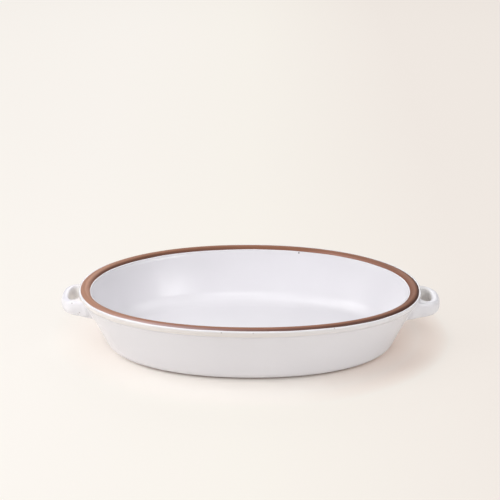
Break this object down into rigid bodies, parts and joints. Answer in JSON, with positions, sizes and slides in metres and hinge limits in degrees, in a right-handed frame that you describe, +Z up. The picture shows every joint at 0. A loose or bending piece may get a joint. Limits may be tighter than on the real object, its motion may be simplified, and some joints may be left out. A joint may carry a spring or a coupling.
{
  "type": "oval baking dish",
  "caption": "Oval stoneware baking dish with flared walls, a raised collar under a bare clay rim, a loop handle at each end and a satin white glaze, for baking and serving.",
  "frame": {"origin": "middle of the dish on the table, in the plane of the foot ring", "axes": "+X along the dish through the right handle, +Y across it away from the viewer, +Z up"},
  "size_m": [0.3294, 0.186, 0.0554],
  "materials": {
    "bare_clay": "fired reddish-brown clay, smooth and almost matt",
    "white_glaze": "satin white glaze with a few iron specks"
  },
  "bodies": {
    "root": {"stoneware_body": "bare_clay", "left_handle": "bare_clay", "right_handle": "bare_clay", "inner_glaze": "white_glaze", "outer_glaze": "white_glaze"}
  },
  "joints": []
}
